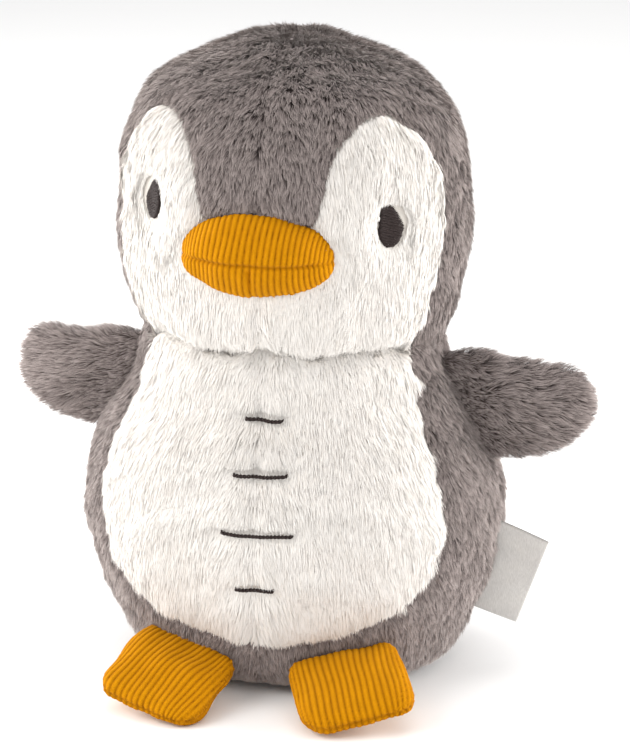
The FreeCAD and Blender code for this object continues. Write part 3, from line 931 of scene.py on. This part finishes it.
def make_foot(side):
    joint = JOINTS[f"foot_{side}_flex"]
    node = f"foot_filling_{side}"
    origin, outward, along, through = local_axes(joint, node)
    piece = remeshed("foot_" + side, node, 0.85 * MM, 5, 1)
    swollen(piece, FABRIC_OVER_FILLING + 0.5 * MM)
    places, normals, _ = read(piece.data)
    local = np.stack([(places - origin) @ axis for axis in (outward, along, through)], axis=1)
    half_thick = 6 * MM
    edge = np.abs(local[:, 2])
    side_turn = np.clip(half_thick - edge, 0, None) * smooth_step(
        np.abs(local[:, 1]), 12 * MM, 20 * MM)
    across = local[:, 1] + np.sign(local[:, 1]) * side_turn * 0.6
    rim = smooth_step(np.maximum(np.abs(local[:, 1]) - 12 * MM, local[:, 0] - 28 * MM),
                      0, 6 * MM)
    seam = bump(local[:, 2], 0.8 * MM) * rim
    lumps = 0.45 * MM * ripple(places, 14 * MM, 45) - 0.8 * MM * seam
    places = places + normals * lumps[:, None]
    places += np.outer(1.2 * MM * smooth_step(local[:, 0], 8 * MM, 34 * MM), outward)
    places[:, 2] = np.maximum(places[:, 2], 0.2 * MM)
    write(piece.data, places)
    across = across + 0.25 * MM * ripple(places, 20 * MM, 46)
    # the seam gets painted shade as well as flatter ribs
    ribbed(piece, across, 1 - 0.7 * seam)
    dressed(piece, "mustard_corduroy", [f"foot_top_panel_{side}", f"foot_sole_panel_{side}"])
    for soft in (piece, make_filling(node, 1.0 * MM, 1.2 * MM)):
        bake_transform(soft)


# ------------------------------------------------------------------ beak

def make_beak():
    seam_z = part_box("beak_upper")[0].z
    piece = remeshed("beak", "beak_filling", 0.8 * MM, 4, 1)
    swollen(piece, 1.65 * MM)
    places, normals, _ = read(piece.data)
    below = seam_z - places[:, 2]
    corner = smooth_step(np.abs(places[:, 0]), 19 * MM, 27 * MM)
    mouth = bump(below, 0.8 * MM) * (1 - 0.65 * corner)
    fold = bump(places[:, 0] + 0.6 * MM, 1.3 * MM) * smooth_step(below, 0.5 * MM, 3 * MM)
    fold *= 1 - 0.7 * smooth_step(below, 6 * MM, 12 * MM)
    narrower = -0.055 * np.clip(places[:, 0], 0, None)
    jaw = smooth_step(below, -0.5 * MM, 1.5 * MM) * 1.3 * MM * (1 - corner)
    lumps = 0.4 * MM * ripple(places, 15 * MM, 55)
    write(piece.data, places + normals * (lumps - mouth * 1.3 * MM - fold * 1.6 * MM)[:, None]
          + np.outer(jaw, [0, 1, 0]) + np.outer(narrower, [1, 0, 0]))
    turn_radius = 29.7 * MM
    across = turn_radius * np.arcsin(np.clip(places[:, 0] / turn_radius, -0.99, 0.99))
    across -= 0.10 * (places[:, 2] - seam_z) + 0.2 * MM * ripple(places, 18 * MM, 56)
    # the mouth's crease gets painted shade as well as flatter ribs
    ribbed(piece, across, 1 - 0.6 * mouth)
    dressed(piece, "mustard_corduroy", ["beak_upper"] + both("beak_lower"))
    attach(piece, "head")
    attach(make_filling("beak_filling", 2.6 * MM, 1.2 * MM), "head")


# ------------------------------------------------------------------ stage

# the area lights: name, place, size, power, colour
LIGHTS = [
    ("key", (-0.75, -0.60, 0.70), 0.8, 7.0, (1.0, 0.985, 0.96)),
    ("fill", (0.55, -0.85, 0.35), 0.9, 1.3, (1.0, 0.99, 0.97)),
    ("top", (0.0, 0.15, 1.0), 0.8, 3.2, (1.0, 1.0, 1.0)),
    ("rim_right", (0.85, 0.30, 0.25), 0.6, 11.0, (1.0, 0.98, 0.96)),
    ("rim_left", (-0.85, 0.25, 0.20), 0.6, 11.0, (1.0, 0.98, 0.96)),
]


def aimed(thing, target):
    direction = Vector(target) - thing.location
    thing.rotation_euler = direction.to_track_quat("-Z", "Y").to_euler()


def make_light(name, place, target, size, power, colour):
    lamp = bpy.data.lights.new(name, "AREA")
    lamp.size = size
    lamp.energy = power
    lamp.color = colour
    light = bpy.data.objects.new(name, lamp)
    light.location = place
    bpy.context.scene.collection.objects.link(light)
    aimed(light, target)


def make_stage():
    scene = bpy.context.scene
    bpy.ops.mesh.primitive_plane_add(size=6.0, location=(0, 0, 0))
    floor = bpy.context.object
    floor.name = "floor"
    m = Nodes("pale floor")
    m.shader.inputs["Base Color"].default_value = (0.93, 0.93, 0.93, 1)
    floor.data.materials.append(m.finish(0.9))
    world = bpy.data.worlds.new("studio")
    scene.world = world
    world.use_nodes = True
    world.node_tree.nodes["Background"].inputs[0].default_value = (1, 1, 1, 1)
    world.node_tree.nodes["Background"].inputs[1].default_value = 0.78
    for name, place, size, power, colour in LIGHTS:
        make_light(name, place, (0, 0, 0.11), size, power, colour)
    scene.view_settings.view_transform = "Standard"


def make_camera():
    """A long lens in front of the toy, a little to its left-hand side and above it."""
    azimuth = math.radians(13.5)
    elevation = math.radians(16.8)
    distance = 1.4
    right = Vector((math.cos(azimuth), math.sin(azimuth), 0))
    back = Vector((math.sin(azimuth) * math.cos(elevation),
                   -math.cos(azimuth) * math.cos(elevation), math.sin(elevation)))
    up = back.cross(right)
    target = Vector((0, 0, 0.115)) + right * 0.0068 - up * 0.012
    data = bpy.data.cameras.new("camera")
    data.lens = 186.0
    data.sensor_width = 36.0
    camera = bpy.data.objects.new("camera", data)
    camera.location = target + back * distance
    bpy.context.scene.collection.objects.link(camera)
    aimed(camera, target)
    bpy.context.scene.camera = camera


make_torso()
make_head()
for side, sign in SIDES:
    make_flipper(side, sign)
    make_foot(side)
make_beak()
make_label()
for thread, slot in (("closing_thread", "dark_thread"), ("neck_seam_thread", "grey_thread")):
    frame["nodes"][thread].data.materials.clear()
    frame["nodes"][thread].data.materials.append(MATERIALS[slot])
make_stage()
make_camera()
